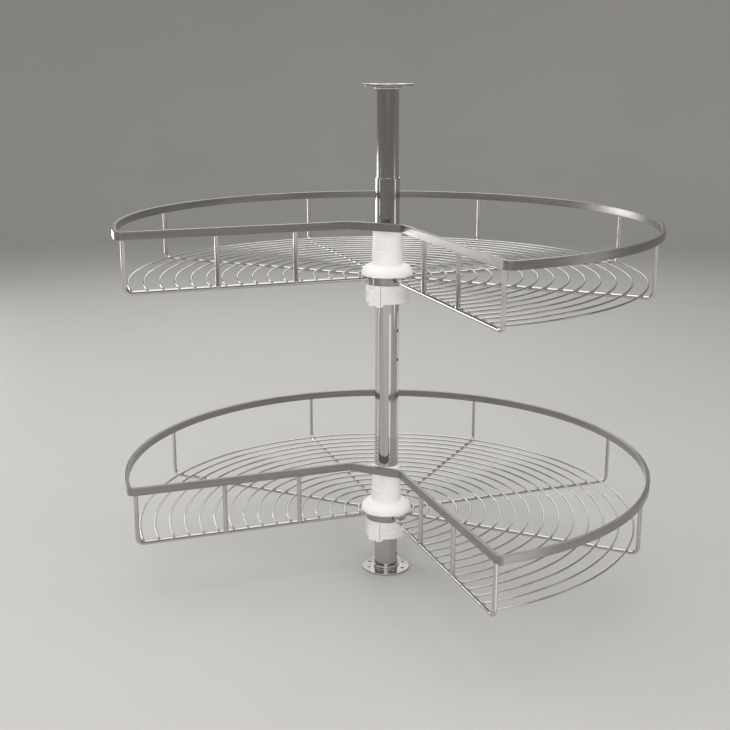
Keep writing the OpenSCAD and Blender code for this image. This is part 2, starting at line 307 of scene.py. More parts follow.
def mark_sharp(bm, degrees):
    """Smooths the faces and marks the edges where they meet at more than an angle."""
    for face in bm.faces:
        face.smooth = True
    for edge in bm.edges:
        edge.smooth = len(edge.link_faces) != 2 or edge.calc_face_angle() < math.radians(degrees)


def soften(bm, sharp_degrees):
    """Joins doubles, turns the faces outwards and marks the sharp edges."""
    bmesh.ops.remove_doubles(bm, verts=bm.verts, dist=2e-6)
    bmesh.ops.dissolve_degenerate(bm, edges=bm.edges, dist=1e-7)
    bmesh.ops.recalc_face_normals(bm, faces=bm.faces)
    mark_sharp(bm, sharp_degrees)


def lathe(points, steps, sharp_degrees):
    """A solid of revolution about Z from a closed outline of (radius, height, rounding)."""
    bm = bmesh.new()
    edges = outline(bm, points)
    bmesh.ops.spin(
        bm, geom=ends_of(edges) + edges, cent=ORIGIN, axis=UP, angle=math.tau, steps=steps,
        use_merge=True, use_duplicate=False,
    )
    soften(bm, sharp_degrees)
    return bm


def round_wall(node, wall, edge, bore_edge, steps, sharp_degrees):
    """A tube or ring in a node's place, with its outer and its inner edges rounded."""
    outer, foot, top = span(node)
    bore = outer - wall
    return lathe(
        [(outer, foot, edge), (outer, top, edge), (bore, top, bore_edge), (bore, foot, bore_edge)],
        steps, sharp_degrees,
    )


def gather(bm, part):
    """Adds a finished part to a larger one, which keeps each part's own work short."""
    mesh = bpy.data.meshes.new("part")
    part.to_mesh(mesh)
    part.free()
    bm.from_mesh(mesh)
    bpy.data.meshes.remove(mesh)


def to_object(bm, name):
    """A new object in the scene from a finished mesh."""
    mesh = bpy.data.meshes.new(name)
    bm.to_mesh(mesh)
    bm.free()
    obj = bpy.data.objects.new(name, mesh)
    bpy.context.scene.collection.objects.link(obj)
    return obj


def dress(obj, nodes, material, weighted=False):
    """Gives a finished piece its finish, its body and the nodes it stands for."""
    obj.data.materials.clear()
    obj.data.materials.append(material)
    if weighted:
        normals = obj.modifiers.new("Flat faces", "WEIGHTED_NORMAL")
        normals.keep_sharp = True
        normals.weight = 80
    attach(obj, FRAME["nodes"][nodes[0]]["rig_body"])
    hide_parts(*nodes)


def cut(obj, cutter, sharp_degrees):
    """Takes a cutter's shape away from an object and removes the cutter."""
    tool = obj.modifiers.new("Holes", "BOOLEAN")
    tool.object, tool.operation, tool.solver = cutter, "DIFFERENCE", "EXACT"
    bpy.context.view_layer.update()
    graph = bpy.context.evaluated_depsgraph_get()
    mesh = bpy.data.meshes.new_from_object(obj.evaluated_get(graph))
    obj.modifiers.clear()
    whole, obj.data = obj.data, mesh
    bpy.data.meshes.remove(whole)
    bpy.data.objects.remove(cutter)
    bm = bmesh.new()
    bm.from_mesh(mesh)
    soften(bm, sharp_degrees)
    bm.to_mesh(mesh)
    bm.free()


# ---- finishes ----


def feed(tree, node, links):
    """Fills a node's inputs, each from an output socket or with a value."""
    for name, source in links:
        if isinstance(source, bpy.types.NodeSocket):
            tree.links.new(source, node.inputs[name])
        else:
            node.inputs[name].default_value = source


def add(tree, kind, links=(), **values):
    """Adds a node, sets its attributes and fills its inputs."""
    node = tree.nodes.new(kind)
    for key, value in values.items():
        setattr(node, key, value)
    feed(tree, node, links)
    return node


def noise(tree, vector, scale, detail, roughness=0.5, distortion=0.0):
    """A cloudy pattern from 0 to 1."""
    return add(tree, "ShaderNodeTexNoise", [
        ("Vector", vector), ("Scale", scale), ("Detail", detail), ("Roughness", roughness),
        ("Distortion", distortion),
    ]).outputs["Fac"]


def spread(tree, value, least, most, smooth=False):
    """A value drawn out so that it runs from 0 at one limit to 1 at the other."""
    return add(
        tree, "ShaderNodeMapRange", [("Value", value), ("From Min", least), ("From Max", most)],
        interpolation_type="SMOOTHSTEP" if smooth else "LINEAR",
    ).outputs["Result"]


def times_plus(tree, value, factor, more=0.0):
    """A value times a factor, plus more."""
    return add(
        tree, "ShaderNodeMath", [(0, value), (1, factor), (2, more)], operation="MULTIPLY_ADD"
    ).outputs["Value"]


def blend(tree, factor, one, other):
    """A colour that a mask turns into another."""
    return add(
        tree, "ShaderNodeMix", [("Factor", factor), ("A", one), ("B", other)], data_type="RGBA"
    ).outputs["Result"]


def relief(tree, height, strength):
    """A normal that follows a fine relief."""
    return add(tree, "ShaderNodeBump", [
        ("Height", height), ("Strength", strength), ("Distance", 0.2 * MM),
    ]).outputs["Normal"]


def shade(colour, by=1.0):
    """A colour made darker or lighter, with its alpha."""
    return (*(max(0.0, min(1.0, c * by)) for c in colour), 1.0)


def open_group(name, inputs, outputs):
    """A group that takes a vector and numbers, and gives numbers.

    Returns it with its input sockets and with the node that its results go to.
    """
    group = bpy.data.node_groups.new(name, "ShaderNodeTree")
    sockets = group.interface
    sockets.new_socket(name="Vector", in_out="INPUT", socket_type="NodeSocketVector")
    for label, default in inputs:
        socket = sockets.new_socket(name=label, in_out="INPUT", socket_type="NodeSocketFloat")
        socket.default_value = default
    for label in outputs:
        sockets.new_socket(name=label, in_out="OUTPUT", socket_type="NodeSocketFloat")
    return group, group.nodes.new("NodeGroupInput").outputs, group.nodes.new("NodeGroupOutput")


def polish_group(name):
    """Plating: soft wipe marks and fine hairlines that change the roughness and the tint."""
    group, given, end = open_group(
        name,
        [("Smudge Scale", 14.0), ("Hairline Scale", 260.0), ("Roughness", 0.06),
         ("Variation", 0.05)],
        ["Roughness", "Mask", "Height"],
    )
    smudge = noise(group, given["Vector"], given["Smudge Scale"], 5.0, 0.62, 0.6)
    soft = spread(group, smudge, 0.42, 0.72, smooth=True)
    hair = noise(group, given["Vector"], given["Hairline Scale"], 3.0, 0.7)
    both = times_plus(group, spread(group, hair, 0.58, 0.8), 0.35, soft)
    rough = times_plus(group, both, given["Variation"], given["Roughness"])
    feed(group, end, [("Roughness", rough), ("Mask", soft), ("Height", hair)])
    return group


def grain_group(name):
    """Brushed grain: streaks that run along the first axis of the vector."""
    group, given, end = open_group(
        name,
        [("Streak Length", 0.02), ("Density", 2600.0), ("Roughness", 0.3), ("Variation", 0.12)],
        ["Roughness", "Streak", "Height"],
    )
    parts = add(group, "ShaderNodeSeparateXYZ", [("Vector", given["Vector"])]).outputs
    along = times_plus(group, parts["X"], given["Streak Length"])
    drawn = add(group, "ShaderNodeCombineXYZ", [
        ("X", along), ("Y", parts["Y"]), ("Z", parts["Z"]),
    ]).outputs["Vector"]
    fine = noise(group, drawn, given["Density"], 4.0, 0.65)
    coarse = noise(group, drawn, times_plus(group, given["Density"], 0.16), 2.0)
    streak = times_plus(group, fine, 0.4, times_plus(group, coarse, 0.6))
    clear = spread(group, streak, 0.36, 0.64)
    rough = times_plus(group, clear, given["Variation"], given["Roughness"])
    feed(group, end, [("Roughness", rough), ("Streak", clear), ("Height", streak)])
    return group


def moulding_group(name):
    """Moulded plastic: a fine spark-eroded grain and a faint mottle of handling."""
    group, given, end = open_group(
        name,
        [("Grain Scale", 1400.0), ("Mottle Scale", 22.0), ("Roughness", 0.42),
         ("Variation", 0.1)],
        ["Roughness", "Mottle", "Height"],
    )
    grain = noise(group, given["Vector"], given["Grain Scale"], 2.0)
    mottle = noise(group, given["Vector"], given["Mottle Scale"], 4.0, 0.6)
    soft = spread(group, mottle, 0.4, 0.7, smooth=True)
    rough = times_plus(group, soft, given["Variation"], given["Roughness"])
    feed(group, end, [("Roughness", rough), ("Mottle", soft), ("Height", grain)])
    return group


def dust_group(name):
    """Settled dust: a thin veil on what faces up."""
    group, given, end = open_group(name, [("Amount", 0.2)], ["Mask"])
    normal = add(group, "ShaderNodeNewGeometry").outputs["Normal"]
    up = add(group, "ShaderNodeSeparateXYZ", [("Vector", normal)]).outputs["Z"]
    facing = spread(group, up, 0.55, 1.0, smooth=True)
    patches = spread(group, noise(group, given["Vector"], 60.0, 6.0, 0.7), 0.35, 0.75)
    lying = times_plus(group, facing, patches)
    feed(group, end, [("Mask", times_plus(group, lying, given["Amount"]))])
    return group


GROUPS = {
    "Polish Marks": polish_group,
    "Brushed Grain": grain_group,
    "Moulded Skin": moulding_group,
    "Settled Dust": dust_group,
}


def use_group(tree, name, links):
    """Places a shared group in a material, built on first use; returns its outputs."""
    group = bpy.data.node_groups.get(name) or GROUPS[name](name)
    return add(tree, "ShaderNodeGroup", links, node_tree=group).outputs


def blank_material(name):
    """A new material; returns it, its tree, its shader and its object coordinates."""
    material = bpy.data.materials.new(name)
    material.use_nodes = True
    tree = material.node_tree
    tree.nodes.clear()
    shader = add(tree, "ShaderNodeBsdfPrincipled")
    add(tree, "ShaderNodeOutputMaterial", [("Surface", shader.outputs["BSDF"])])
    return material, tree, shader, add(tree, "ShaderNodeTexCoord").outputs["Object"]


def chrome(name, colour, roughness, variation, stretch=(1, 1, 1), marks_scale=14.0, bump=0.02,
           dust=0.0, painted_hole_shade=False):
    """Bright plating; stretch draws the marks out along an axis, and the hole flag paints
    near-black shade on the walls of drilled holes.
    """
    found = bpy.data.materials.get(name)
    if found:
        return found
    material, tree, shader, place = blank_material(name)
    drawn = add(tree, "ShaderNodeMapping", [("Vector", place), ("Scale", stretch)])
    marks = use_group(tree, "Polish Marks", [
        ("Vector", drawn.outputs["Vector"]), ("Roughness", roughness), ("Variation", variation),
        ("Smudge Scale", marks_scale),
    ])
    tone = blend(tree, marks["Mask"], shade(colour), shade(colour, 0.86))
    rough = marks["Roughness"]
    if dust:
        veil = use_group(tree, "Settled Dust", [("Vector", place), ("Amount", dust)])
        rough = times_plus(tree, veil["Mask"], 0.5, rough)
    if painted_hole_shade:
        # Painted shade: the screw holes' walls are coloured near black for the shade inside them,
        # and made rougher
        bore = add(tree, "ShaderNodeAttribute", attribute_name="bore").outputs["Fac"]
        rough = times_plus(tree, bore, 0.45, rough)
        tone = blend(tree, bore, tone, (0.02, 0.02, 0.02, 1.0))
    feed(tree, shader, [
        ("Base Color", tone), ("Roughness", rough), ("Metallic", 1.0),
        ("Normal", relief(tree, marks["Height"], bump)),
    ])
    return material


def satin_steel(name, colour):
    """Flat bar, brushed along its length."""
    material, tree, shader, place = blank_material(name)
    along = add(tree, "ShaderNodeAttribute", attribute_name="grain").outputs["Vector"]
    streaks = use_group(tree, "Brushed Grain", [("Vector", along)])
    marks = use_group(tree, "Polish Marks", [
        ("Vector", place), ("Smudge Scale", 9.0), ("Roughness", 0.0), ("Variation", 0.08),
    ])
    tone = blend(tree, streaks["Streak"], shade(colour, 0.86), shade(colour, 1.12))
    feed(tree, shader, [
        ("Base Color", tone), ("Metallic", 1.0),
        ("Roughness", times_plus(tree, marks["Roughness"], 1.0, streaks["Roughness"])),
        ("Normal", relief(tree, streaks["Height"], 0.12)),
    ])
    return material


def plastic(name, colour, roughness):
    """Moulded satin plastic with a fine grain and some dust."""
    material, tree, shader, place = blank_material(name)
    skin = use_group(tree, "Moulded Skin", [("Vector", place), ("Roughness", roughness)])
    veil = use_group(tree, "Settled Dust", [("Vector", place), ("Amount", 0.5)])
    handled = blend(tree, skin["Mottle"], shade(colour), shade(colour, 0.955))
    feed(tree, shader, [
        ("Base Color", blend(tree, veil["Mask"], handled, shade(colour, 0.93))),
        ("Roughness", skin["Roughness"]), ("Normal", relief(tree, skin["Height"], 0.05)),
        ("Specular IOR Level", 0.45), ("Subsurface Weight", 0.06),
        ("Subsurface Radius", (4 * MM, 3 * MM, 2 * MM)),
    ])
    return material


# ---- the post ----


def hole_places(props):
    """Where a flange's screw holes lie round its axis."""
    reach = Matrix.Translation((props.hole_circle / 2, 0, 0))
    return [
        Matrix.Rotation(math.tau * i / props.holes, 4, "Z") @ reach for i in range(props.holes)
    ]


def flange_mesh(props, tube_radius):
    """A flange on z = 0: a plate with a rounded rim and screw holes, and a collar."""
    plate, edge, bend = props.flange_plate, props.edge, props.collar_round
    radius = high("base_flange", 0)
    collar, top = high("main_tube", 0) + props.collar_width, plate + props.collar_height
    bore = tube_radius + FLANGE_GAP
    fillet, lip = 0.5 * MM, 0.2 * MM
    hole, sunk = props.hole / 2, props.hole / 2 + props.countersink
    face = Matrix.Translation((0, 0, plate))
    bm = bmesh.new()
    rim = ring(bm, radius - edge, face, 128)
    foot = ring(bm, collar + fillet, face, 96)
    holes = [ring(bm, sunk, face @ place, 32) for place in hole_places(props)]
    bmesh.ops.triangle_fill(bm, use_beauty=True, edges=sum(holes, rim + foot), normal=UP)
    under = ladder(bm, rim, (radius - edge, plate), [
        *quarter(radius - edge, plate - edge, edge, 90, 0, 5),
        (radius, edge),
        *quarter(radius - edge, edge, edge, 0, -90, 5),
    ])
    bottoms = [
        ladder(bm, loop, (sunk, plate), [(hole, plate - props.countersink), (hole, 0)])
        for loop in holes
    ]
    inner = ladder(bm, foot, (collar + fillet, plate), [
        (collar + 0.3 * fillet, plate + 0.36 * fillet),
        (collar, plate + fillet),
        (collar, top - bend),
        *quarter(collar - bend, top - bend, bend, 0, 90, 8),
        (bore + lip, top),
        (bore, top - lip),
        (bore, 0),
    ])
    bmesh.ops.triangle_fill(bm, use_beauty=True, edges=sum(bottoms, under + inner), normal=DOWN)
    return bm


class CAROUSEL_OT_flanges(bpy.types.Operator):
    """Build the floor flange and the top flange"""

    bl_idname = "carousel.flanges"
    bl_label = "Flanges"

    def execute(self, context):
        props, finish = context.scene.carousel_post, context.scene.carousel_finish
        material = chrome(
            "Flange chrome", finish.flange, 0.07, 0.08, bump=0.015, dust=0.25, painted_hole_shade=True
        )
        head = Matrix.Translation((0, 0, high("top_flange", 2)))
        for name, node, tube, place in (
            ("floor_flange_plate", "base_flange", "main_tube", Matrix()),
            ("top_flange_plate", "top_flange", "inner_tube",
             head @ Matrix.Rotation(math.pi, 4, "X")),
        ):
            bm = flange_mesh(props, high(tube, 0))
            bmesh.ops.transform(bm, matrix=place, verts=bm.verts)
            soften(bm, 40)
            self.mark_hole_shade(bm, props)
            dress(to_object(bm, name), [node], material, True)
        return {"FINISHED"}

    def mark_hole_shade(self, bm, props):
        """Marks the walls of the screw holes, where the plating gets painted shade."""
        # The bore layer carries the painted shade of the hole walls
        layer = bm.faces.layers.float.new("bore")
        centres = [place.translation.xy for place in hole_places(props)]
        for face in bm.faces:
            spot = face.calc_center_median().xy
            face[layer] = float(min((spot - c).length for c in centres) < props.hole / 2)


def on_wall(angle, reach, height):
    """A place on the post's wall whose own +Z points outwards."""
    return (
        Matrix.Rotation(angle, 4, "Z") @ Matrix.Translation((reach, 0, height))
        @ Matrix.Rotation(math.pi / 2, 4, "Y")
    )


def drill(place, radius):
    """A round cutter through a tube's wall."""
    bm = bmesh.new()
    bmesh.ops.create_cone(
        bm, cap_ends=True, segments=40, radius1=radius, radius2=radius, depth=8 * MM,
        matrix=place,
    )
    return to_object(bm, "drill")


def screw_places():
    """Compass angle of the set screws and the height of each."""
    lo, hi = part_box("base_lock_screw")
    lowest = (lo + hi) / 2
    first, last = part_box("slide_lock_screws")
    half = (hi.z - lo.z) / 2
    return math.atan2(lowest.y, lowest.x), [lowest.z, first.z + half, last.z - half]


class CAROUSEL_OT_tubes(bpy.types.Operator):
    """Build the main tube with its screw holes and the inner tube"""

    bl_idname = "carousel.tubes"
    bl_label = "Tubes"

    def execute(self, context):
        props, finish = context.scene.carousel_post, context.scene.carousel_finish
        main, inner = (
            to_object(round_wall(node, props.wall, lip, lip, 160, 40), f"{node}_plated")
            for node, lip in (("main_tube", 0.35 * MM), ("inner_tube", 0.3 * MM))
        )
        angle, heights = screw_places()
        for height in heights:
            place = on_wall(angle, high("main_tube", 0), height)
            cut(main, drill(place, props.screw / 2), 40)
        plating = chrome("Tube chrome", finish.tube, 0.05, 0.09, ALONG_POST, 75.0)
        dress(main, ["main_tube"], plating, True)
        plating = chrome("Inner tube chrome", finish.inner_tube, 0.10, 0.09, ALONG_POST, 80.0)
        dress(inner, ["inner_tube"], plating, True)
        return {"FINISHED"}


def socket_screw(bm, place, radius, length, across):
    """A set screw's end on its own +Z: rounded rim, flat face and a hexagon socket."""
    edge, lip, depth = 0.3 * MM, 0.12 * MM, 0.9 * MM
    eased = radius - 0.35 * edge
    foot = ring(bm, radius, place @ Matrix.Translation((0, 0, -length)), 40)
    bmesh.ops.holes_fill(bm, edges=foot)
    up = place.to_3x3() @ UP
    loop = push(bm, foot, up * (length - edge))
    loop = push(bm, loop, up * edge * 0.6, eased / radius)
    loop = push(bm, loop, up * edge * 0.4, (radius - edge) / eased)
    socket = ring(bm, across / 2 / math.cos(math.pi / 6) + lip, place, 6)
    bmesh.ops.triangle_fill(bm, use_beauty=True, edges=loop + socket, normal=up)
    loop = push(bm, socket, up * -lip, 1 - lip / (across / 2))
    loop = push(bm, loop, up * -depth)
    bmesh.ops.holes_fill(bm, edges=loop)


def blackened(finish):
    """The finish of every screw."""
    return chrome("Blackened screw", finish.screw, 0.32, 0.2, bump=0.05)


class CAROUSEL_OT_set_screws(bpy.types.Operator):
    """Build the set screws in the post's wall"""

    bl_idname = "carousel.set_screws"
    bl_label = "Set Screws"

    def execute(self, context):
        props, finish = context.scene.carousel_post, context.scene.carousel_finish
        angle, heights = screw_places()
        end, thread_gap = high("main_tube", 0) - SCREW_SINK, 0.02 * MM
        for name, node, group in (
            ("base_set_screw", "base_lock_screw", heights[:1]),
            ("slide_set_screws", "slide_lock_screws", heights[1:]),
        ):
            bm = bmesh.new()
            for height in group:
                socket_screw(
                    bm, on_wall(angle, end, height), props.screw / 2 - thread_gap,
                    props.wall - SCREW_SINK, props.socket,
                )
            soften(bm, 30)
            dress(to_object(bm, name), [node], blackened(finish))
        return {"FINISHED"}


# ---- the baskets ----


def corner_reach(props, radius):
    """From the axis, along the notch's side, to the bend at its outer corner."""
    swing = radius - props.band / 2 - props.corner
    return math.sqrt(swing**2 - props.corner**2)


def on_band(co, radius, notch):
    """Where a point of the band lies: distance along it, across it and its height.

    Each stretch counts from its own start, so that no two share their streaks.
    """
    right, crossing, rim = 3.0, 6.0, 9.0
    near, bent = 9 * MM, notch * 1.2
    reach = math.hypot(co.x, co.y)
    if co.x <= 0 and abs(co.y) <= near and reach > notch:
        return reach, co.y, co.z
    if co.y <= 0 and abs(co.x) <= near and reach > notch:
        return right + reach, co.x, co.z
    if reach <= bent:
        return crossing + co.x - co.y, (co.x + co.y) * 0.7, co.z
    return rim + math.atan2(co.y, co.x) * radius, reach - radius, co.z


def band_mesh(props, radius, foot, top):
    """The closed rim band: flat bar swept round the rim and along the notch."""
    bm = bmesh.new()
    half, height, edge = props.band / 2, top - foot, props.band_edge
    corner, bend, notch = props.corner, props.notch_bend, props.notch
    eighth = math.radians(45)
    cut_off = bend * math.tan(eighth / 2)
    corner_x = corner_reach(props, radius)
    corner_a = math.asin(corner / (radius - half - corner))
    section = outline(
        bm, [(-half, 0, edge), (half, 0, edge), (half, height, edge), (-half, height, edge)]
    )
    place = Matrix.Translation((-notch / 2, -notch / 2, foot)) @ Matrix.Rotation(eighth, 4, "Z")
    bmesh.ops.transform(bm, matrix=place, verts=bm.verts)
    across = Vector((-1, 1, 0)).normalized() * (math.hypot(notch, notch) / 2 - cut_off)
    side = corner_x - notch - cut_off
    loop = push(bm, section, across)
    loop = turn(bm, loop, (-notch - cut_off, -bend, 0), UP, eighth, 8)
    loop = push(bm, loop, (-side, 0, 0))
    loop = turn(bm, loop, (-corner_x, corner, 0), UP, -(math.pi / 2 + corner_a), 20)
    loop = turn(bm, loop, ORIGIN, UP, -(SWEEP - 2 * corner_a), 216)
    loop = turn(bm, loop, (corner, -corner_x, 0), UP, -(math.pi / 2 + corner_a), 20)
    loop = push(bm, loop, (0, side, 0))
    loop = turn(bm, loop, (-bend, -notch - cut_off, 0), UP, eighth, 8)
    push(bm, loop, across)
    soften(bm, 50)
    grain = bm.verts.layers.float_vector.new("grain")
    for vert in bm.verts:
        vert[grain] = on_band(vert.co, radius, notch)
    return bm


class CAROUSEL_OT_rim_bands(bpy.types.Operator):
    """Build the flat steel band round each basket"""

    bl_idname = "carousel.rim_bands"
    bl_label = "Rim Bands"

    def execute(self, context):
        props, finish = context.scene.carousel_basket, context.scene.carousel_finish
        material = satin_steel("Satin band steel", finish.band)
        for basket in BASKETS:
            node = f"{basket}_rim_band"
            bm = band_mesh(props, *span(node))
            dress(to_object(bm, f"{basket}_band_bar"), [node], material, True)
        return {"FINISHED"}


def hang(bm, radius, reach, band_foot, end):
    """An upright wire on +X, from its thick weld in the band down to a height."""
    top = band_foot + 0.35 * MM
    loop = ring(bm, radius * 1.10, Matrix.Translation((reach, 0, top)), 20)
    bmesh.ops.holes_fill(bm, edges=loop)
    return ladder(bm, loop, (radius * 1.10, top), [
        (radius * 1.06, top - 0.7 * MM),
        (radius * 1.02, top - 1.5 * MM),
        (radius, top - 2.4 * MM),
        (radius, end),
    ])


def end_wire(bm, loop, unit, steps):
    """Ends a wire in steps of (share of the unit vector, growth) and closes it."""
    for length, growth in steps:
        loop = push(bm, loop, unit * length, growth)
    bmesh.ops.holes_fill(bm, edges=loop)


def bent_wire(bm, radius, bend, out, band_foot, floor_top, ring_radius):
    """A wire along +X: from the band down, round its bend and in to the steel ring."""
    inward, weld = Vector((-1, 0, 0)), 3.2 * MM
    mid = floor_top - radius
    loop = hang(bm, radius, out, band_foot, mid + bend)
    loop = turn(bm, loop, (out - bend, 0, mid + bend), (0, 1, 0), math.pi / 2, 14)
    loop = push(bm, loop, inward * (out - bend - ring_radius - weld))
    end_wire(bm, loop, inward * MM, ((1.2, 1.03), (0.9, 1.09), (0.7, 1.13), (1.0, 1.16)))


def stay(bm, radius, reach, band_foot, floor_top):
    """One upright on +X between the band and a side wire, with a weld at each end."""
    weld = 1.6 * MM
    loop = hang(bm, radius, reach, band_foot, floor_top + weld)
    end_wire(bm, loop, DOWN * MM, ((1.0, 1.03), (1.0, 1.07), (1.2, 1.0), (1.6, 0.9)))


def arc_radii(props, radius):
    """Radii of the floor's arcs, evenly spaced, in a basket of a given radius."""
    last = radius - props.edge_gap
    step = (last - props.first_arc) / (props.arcs - 1)
    return [props.first_arc + i * step for i in range(props.arcs)]


def nuggets(bm, radii, floor_top):
    """Welds where the floor's arcs cross a wire along +X: small flattened lumps."""
    size, sunk = Matrix.Diagonal((2.6 * MM, 1.9 * MM, 1.3 * MM, 1)), 0.2 * MM
    for reach in radii:
        place = Matrix.Translation((reach, 0, floor_top - sunk)) @ size
        bmesh.ops.create_uvsphere(bm, u_segments=8, v_segments=6, radius=1, matrix=place)


class CAROUSEL_OT_wires(bpy.types.Operator):
    """Build the side wires, spokes and stays of each basket"""

    bl_idname = "carousel.wires"
    bl_label = "Wires"

    def execute(self, context):
        props, finish = context.scene.carousel_basket, context.scene.carousel_finish
        material = chrome("Wire chrome", finish.wire, 0.09, 0.08, bump=0.03)
        side_r, spoke_r, inset = props.side_wire / 2, props.spoke / 2, 1 * MM
        for basket in BASKETS:
            band_foot = low(f"{basket}_rim_band", 2)
            floor_top = low(f"{basket}_side_wire_left", 2) + props.side_wire
            radius = high(f"{basket}_rim_band", 0)
            ring_radius = high(f"{basket}_weld_ring", 0)
            radii = arc_radii(props, radius)
            spoke_reach = radius - props.band / 2 - inset
            wires = [
                (f"side_wire_{side}", angle, side_r, corner_reach(props, radius))
                for side, angle in SIDES
            ] + [
                (f"spoke_{i}", -math.pi / 2 + i * SWEEP / (SPOKES + 1), spoke_r, spoke_reach)
                for i in range(1, SPOKES + 1)
            ]
            for name, angle, wire_r, out in wires:
                bm = bmesh.new()
                bent_wire(bm, wire_r, props.bend, out, band_foot, floor_top, ring_radius)
                nuggets(bm, radii, floor_top)
                self.place(bm, f"{basket}_{name}", angle, material)
            for side, angle in SIDES:
                bm = bmesh.new()
                for reach in (props.inner_stay, props.outer_stay):
                    stay(bm, side_r, reach, band_foot, floor_top)
                self.place(bm, f"{basket}_stays_{side}", angle, material)
        return {"FINISHED"}

    def place(self, bm, node, angle, material):
        """Turns a finished wire from +X to its own bearing and dresses it."""
        turned = Matrix.Rotation(angle, 3, "Z")
        bmesh.ops.rotate(bm, verts=bm.verts, cent=ORIGIN, matrix=turned)
        soften(bm, 60)
        dress(to_object(bm, f"{node}_plated"), [node], material)


class CAROUSEL_OT_floor_arcs(bpy.types.Operator):
    """Build the concentric wires of each basket's floor"""

    bl_idname = "carousel.floor_arcs"
    bl_label = "Floor Arcs"

    def execute(self, context):
        props, finish = context.scene.carousel_basket, context.scene.carousel_finish
        material = chrome("Floor wire chrome", finish.wire, 0.10, 0.08, bump=0.03)
        wire_r, past_wire = props.arc / 2, 2.5 * MM
        dome, upright = ((0.18, 0.9), (0.12, 0.72)), Matrix.Rotation(math.pi / 2, 4, "X")
        for basket in BASKETS:
            node = f"{basket}_floor_arcs"
            mid = high(node, 2) - wire_r
            bm = bmesh.new()
            for radius in arc_radii(props, high(f"{basket}_rim_band", 0)):
                over = math.asin(past_wire / radius)
                start = Matrix.Rotation(-math.pi / 2 - over, 4, "Z")
                stop = Matrix.Rotation(math.pi + over, 4, "Z")
                place = start @ Matrix.Translation((radius, 0, mid)) @ upright
                arc = bmesh.new()
                first = ring(arc, wire_r, place, 12)
                last = turn(arc, first, ORIGIN, UP, SWEEP + 2 * over, 144)
                end_wire(arc, first, start @ Vector((0, -wire_r, 0)), dome)
                end_wire(arc, last, stop @ Vector((0, wire_r, 0)), dome)
                soften(arc, 60)
                gather(bm, arc)
            dress(to_object(bm, f"{node}_plated"), [node], material)
        return {"FINISHED"}


# ---- hubs and clamp rings ----


class CAROUSEL_OT_hubs(bpy.types.Operator):
    """Build the moulded hub of each basket"""

    bl_idname = "carousel.hubs"
    bl_label = "Hubs"

    def execute(self, context):
        props, finish = context.scene.carousel_hub, context.scene.carousel_finish
        material = plastic("Hub plastic", finish.hub, 0.42)
        bore = high("main_tube", 0) + HUB_GAP
        sleeve_foot, sleeve_top = props.sleeve_foot, props.sleeve_top
        draft, ledge, cone, dome = 0.2 * MM, 0.7 * MM, 2.2 * MM, 16.6
        for basket in BASKETS:
            node = f"{basket}_hub"
            flange, foot, top = span(node)
            ring_radius, _, ring_top = span(f"{basket}_weld_ring")
            spigot = ring_radius - props.ring_wall
            crown = ring_top + props.shoulder
            step = ring_top + props.half_lip + props.step
            corners = (
                (bore, foot, 0.4),
                (spigot, foot, 0.4),
                (spigot, ring_top, 0),
                (flange, ring_top, 0.7),
                (flange, crown, dome),
                (sleeve_foot, crown, 0.9),
                (sleeve_foot - draft, step - 1 * MM, 0.35),
                (sleeve_foot - ledge, step, 0.5),
                (sleeve_top, top - cone, 0.9),
                (sleeve_top - cone, top, 0.7),
                (bore, top, 0.35),
            )
            bm = lathe([(radius, z, rounding * MM) for radius, z, rounding in corners], 144, 35)
            dress(to_object(bm, f"{basket}_hub_moulding"), [node], material, True)
        return {"FINISHED"}


class CAROUSEL_OT_weld_rings(bpy.types.Operator):
    """Build the chromed ring that carries each basket's wires"""

    bl_idname = "carousel.weld_rings"
    bl_label = "Steel Rings"

    def execute(self, context):
        props, finish = context.scene.carousel_hub, context.scene.carousel_finish
        material = chrome("Steel ring chrome", finish.ring, 0.07, 0.07)
        for basket in BASKETS:
            node = f"{basket}_weld_ring"
            bm = round_wall(node, props.ring_wall, 0.8 * MM, 0.32 * MM, 144, 35)
            piece = to_object(bm, f"{basket}_ring_plated")
            dress(piece, [node], material, True)
        return {"FINISHED"}


def rounded_copy(node, name, edge, segments, keeps_sharp=None):
    """A merged copy of a node with its corners rounded, apart from those that a test names."""
    nearly_same, nearly_flat, corner = 3e-6, math.radians(0.6), math.radians(32)
    bm = bmesh.new()
    bm.from_mesh(FRAME["nodes"][node].data)
    bmesh.ops.remove_doubles(bm, verts=bm.verts, dist=nearly_same)
    bmesh.ops.dissolve_limit(
        bm, angle_limit=nearly_flat, verts=bm.verts, edges=bm.edges,
        use_dissolve_boundaries=False,
    )
    corners = [
        e for e in bm.edges
        if len(e.link_faces) == 2 and e.calc_face_angle() > corner
        and not (keeps_sharp and keeps_sharp(e))
    ]
    bmesh.ops.bevel(
        bm, geom=corners, offset=edge, offset_type="OFFSET", affect="EDGES", segments=segments,
        profile=0.5, clamp_overlap=True, material=-1,
    )
    bmesh.ops.remove_doubles(bm, verts=bm.verts, dist=nearly_same)
    mark_sharp(bm, 38)
    return to_object(bm, name)


